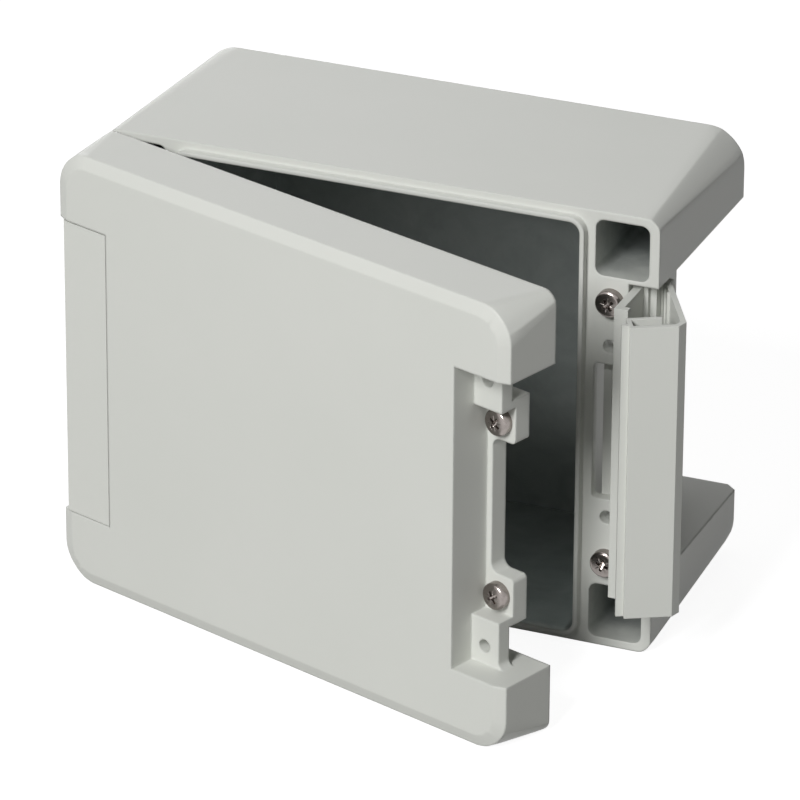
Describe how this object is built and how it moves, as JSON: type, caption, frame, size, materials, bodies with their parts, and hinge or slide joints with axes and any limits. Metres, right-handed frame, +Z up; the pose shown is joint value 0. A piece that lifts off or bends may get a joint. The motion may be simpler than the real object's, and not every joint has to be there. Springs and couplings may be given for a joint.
{
  "type": "hinged enclosure",
  "caption": "Rectangular cast aluminium enclosure with a side-hinged lid, narrowed ends with corner pockets, and a swinging cover strip over the closing screws.",
  "frame": {"origin": "middle of the base's underside, on the surface that the box stands on", "axes": "+Z up, +X to the latch end, +Y to the back; the lid faces -Y"},
  "size_m": [0.2224, 0.1729, 0.16],
  "materials": {
    "shell_paint": "cast aluminium with a light grey powder coat, fine orange-peel, satin",
    "strip_paint": "light grey powder coat on extruded aluminium, satin",
    "seal_rubber": "dark foam rubber, matt",
    "screw_steel": "bright stainless steel, turned",
    "pin_steel": "ground stainless steel"
  },
  "bodies": {
    "base": {"base_shell": "shell_paint", "latch_rail": "strip_paint", "hinge_base_leaf": "strip_paint", "hinge_pin": "pin_steel", "base_screw_right_top": "screw_steel", "base_screw_right_bottom": "screw_steel", "base_screw_left_top": "screw_steel", "base_screw_left_bottom": "screw_steel"},
    "lid": {"lid_shell": "shell_paint", "lid_gasket": "seal_rubber", "hinge_lid_leaf": "strip_paint", "hinge_strip": "strip_paint", "lid_screw_right_top": "screw_steel", "lid_screw_right_bottom": "screw_steel", "lid_screw_left_top": "screw_steel", "lid_screw_left_bottom": "screw_steel"},
    "strip": {"latch_strip": "strip_paint"}
  },
  "joints": [
    {"name": "lid_hinge", "type": "hinge", "parent": "base", "child": "lid", "pos_m": [-0.1003, -0.0431, 0.08], "axis": [0, 0, -1], "range_deg": [-19.1, 100]},
    {"name": "strip_hinge", "type": "hinge", "parent": "base", "child": "strip", "pos_m": [0.09865, -0.031, 0.08], "axis": [0, 0, 1], "range_deg": [-29, 61]}
  ]
}
